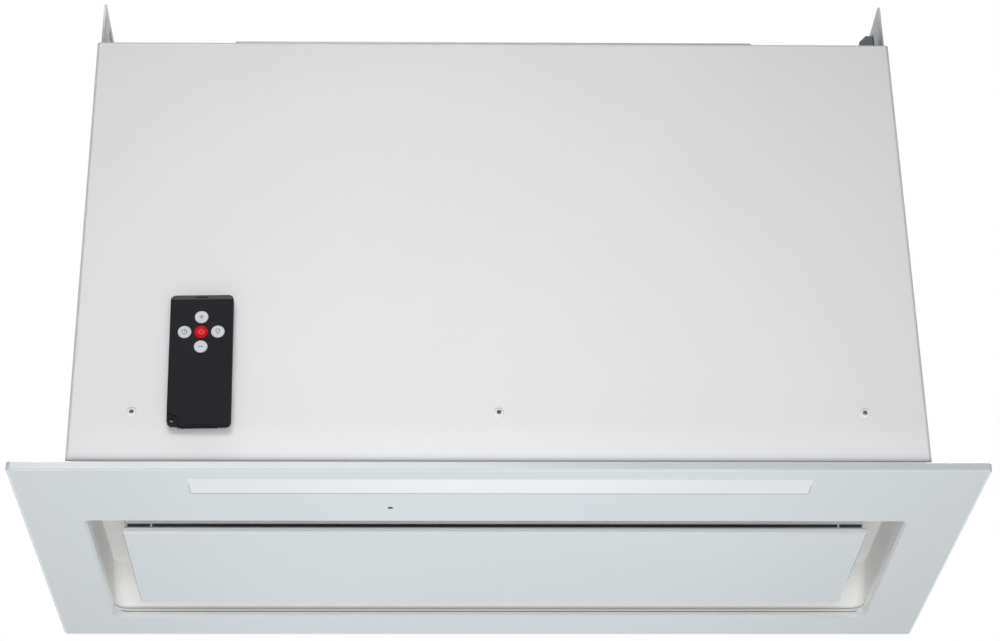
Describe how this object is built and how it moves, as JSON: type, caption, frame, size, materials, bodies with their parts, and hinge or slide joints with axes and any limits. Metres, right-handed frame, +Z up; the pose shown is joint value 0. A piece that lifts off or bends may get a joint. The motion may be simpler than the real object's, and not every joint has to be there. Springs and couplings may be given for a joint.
{
  "type": "built-in range hood",
  "caption": "Built-in range hood: white glass frame with a perimeter suction panel, folded steel body, double-inlet blower, round outlet with flaps, hanging ears and a loose handset.",
  "frame": {"origin": "middle of the glass frame's underside, which is also the bottom centre of the whole part", "axes": "+X to the right, the front with the handset faces -Y, +Z up"},
  "size_m": [0.6, 0.282, 0.3588],
  "materials": {
    "white_glass": "back-painted, polished",
    "white_steel": "satin powder coat",
    "bare_steel": "galvanised",
    "filter_aluminium": "bare",
    "plated_steel": "zinc plated",
    "bond": "matt sealant",
    "foam_tape": "black foam",
    "dark_lens": "dark infrared window",
    "diffuser": "milky",
    "circuit_board": "solder resist",
    "dark_plastic": "moulded",
    "pale_plastic": "moulded",
    "handset_black": "fine satin",
    "key_grey": "satin",
    "key_red": "satin"
  },
  "bodies": {
    "hood": {"glass_frame": "white_glass", "glass_bond": "bond", "ir_lens": "dark_lens", "ir_receiver": "circuit_board", "base_frame": "white_steel", "intake_tray": "white_steel", "body_wrap": "white_steel", "rear_panel": "bare_steel", "top_panel": "bare_steel", "left_ear": "bare_steel", "right_ear": "bare_steel", "ear_rivets": "plated_steel", "shell_screws": "plated_steel", "led_diffuser": "diffuser", "led_channel": "filter_aluminium", "led_board": "circuit_board", "hinge_brackets": "bare_steel", "hinge_pins": "plated_steel", "catch_brackets": "white_steel", "scroll_left": "dark_plastic", "scroll_right": "dark_plastic", "scroll_screws": "plated_steel", "fan_motor": "bare_steel", "motor_bracket": "bare_steel", "motor_plate": "bare_steel", "outlet_collar": "dark_plastic", "flap_pin": "plated_steel", "plate_screws": "plated_steel", "control_box": "bare_steel", "control_lid": "bare_steel", "control_screws": "plated_steel", "control_board": "circuit_board", "capacitor": "filter_aluminium", "led_driver": "pale_plastic", "cord_bushing": "dark_plastic"},
    "suction_panel": {"panel_glass": "white_glass", "panel_tape": "foam_tape", "panel_backing": "white_steel", "hinge_arms": "bare_steel", "catch_magnets": "plated_steel"},
    "left_filter": {"left_filter_frame": "filter_aluminium", "left_filter_mesh": "filter_aluminium"},
    "right_filter": {"right_filter_frame": "filter_aluminium", "right_filter_mesh": "filter_aluminium"},
    "fan_wheel": {"impeller": "dark_plastic", "motor_shaft": "plated_steel"},
    "flap_front": {"front_flap": "filter_aluminium"},
    "flap_rear": {"rear_flap": "filter_aluminium"},
    "handset": {"handset_shell": "handset_black", "handset_face": "handset_black", "handset_board": "circuit_board"},
    "plus_key": {"key_plus": "key_grey"},
    "minus_key": {"key_minus": "key_grey"},
    "power_key": {"key_power": "key_red"},
    "timer_key": {"key_timer": "key_grey"},
    "light_key": {"key_light": "key_grey"},
    "battery_drawer": {"battery_tray": "handset_black", "coin_cell": "plated_steel"}
  },
  "joints": [
    {"name": "panel_hinge", "type": "hinge", "parent": "hood", "child": "suction_panel", "pos_m": [0, 0.078, 0.014], "axis": [1, 0, 0], "range_deg": [0, 90]},
    {"name": "left_filter_slide", "type": "slide", "parent": "hood", "child": "left_filter", "axis": [0, 1, 0], "range_m": [0, 0.005]},
    {"name": "right_filter_slide", "type": "slide", "parent": "hood", "child": "right_filter", "axis": [0, 1, 0], "range_m": [0, 0.005]},
    {"name": "fan_spin", "type": "hinge", "parent": "hood", "child": "fan_wheel", "pos_m": [0, -0.024, 0.19], "axis": [1, 0, 0], "continuous": true},
    {"name": "front_flap_swing", "type": "hinge", "parent": "hood", "child": "flap_front", "pos_m": [0, 0.038, 0.3369], "axis": [-1, 0, 0], "range_deg": [0, 80]},
    {"name": "rear_flap_swing", "type": "hinge", "parent": "hood", "child": "flap_rear", "pos_m": [0, 0.038, 0.3369], "axis": [1, 0, 0], "range_deg": [0, 80]},
    {"name": "handset_lift", "type": "slide", "parent": "hood", "child": "handset", "axis": [0, -1, 0], "range_m": [0, 0.04]},
    {"name": "plus_press", "type": "slide", "parent": "handset", "child": "plus_key", "axis": [0, 1, 0], "range_m": [0, 0.0006], "stiffness_N_per_m": 800, "springref_m": -0.0004},
    {"name": "minus_press", "type": "slide", "parent": "handset", "child": "minus_key", "axis": [0, 1, 0], "range_m": [0, 0.0006], "stiffness_N_per_m": 800, "springref_m": -0.0004},
    {"name": "power_press", "type": "slide", "parent": "handset", "child": "power_key", "axis": [0, 1, 0], "range_m": [0, 0.0006], "stiffness_N_per_m": 800, "springref_m": -0.0004},
    {"name": "timer_press", "type": "slide", "parent": "handset", "child": "timer_key", "axis": [0, 1, 0], "range_m": [0, 0.0006], "stiffness_N_per_m": 800, "springref_m": -0.0004},
    {"name": "light_press", "type": "slide", "parent": "handset", "child": "light_key", "axis": [0, 1, 0], "range_m": [0, 0.0006], "stiffness_N_per_m": 800, "springref_m": -0.0004},
    {"name": "battery_pull", "type": "slide", "parent": "handset", "child": "battery_drawer", "axis": [0.0175, 0, -0.9998], "range_m": [0, 0.022]}
  ]
}
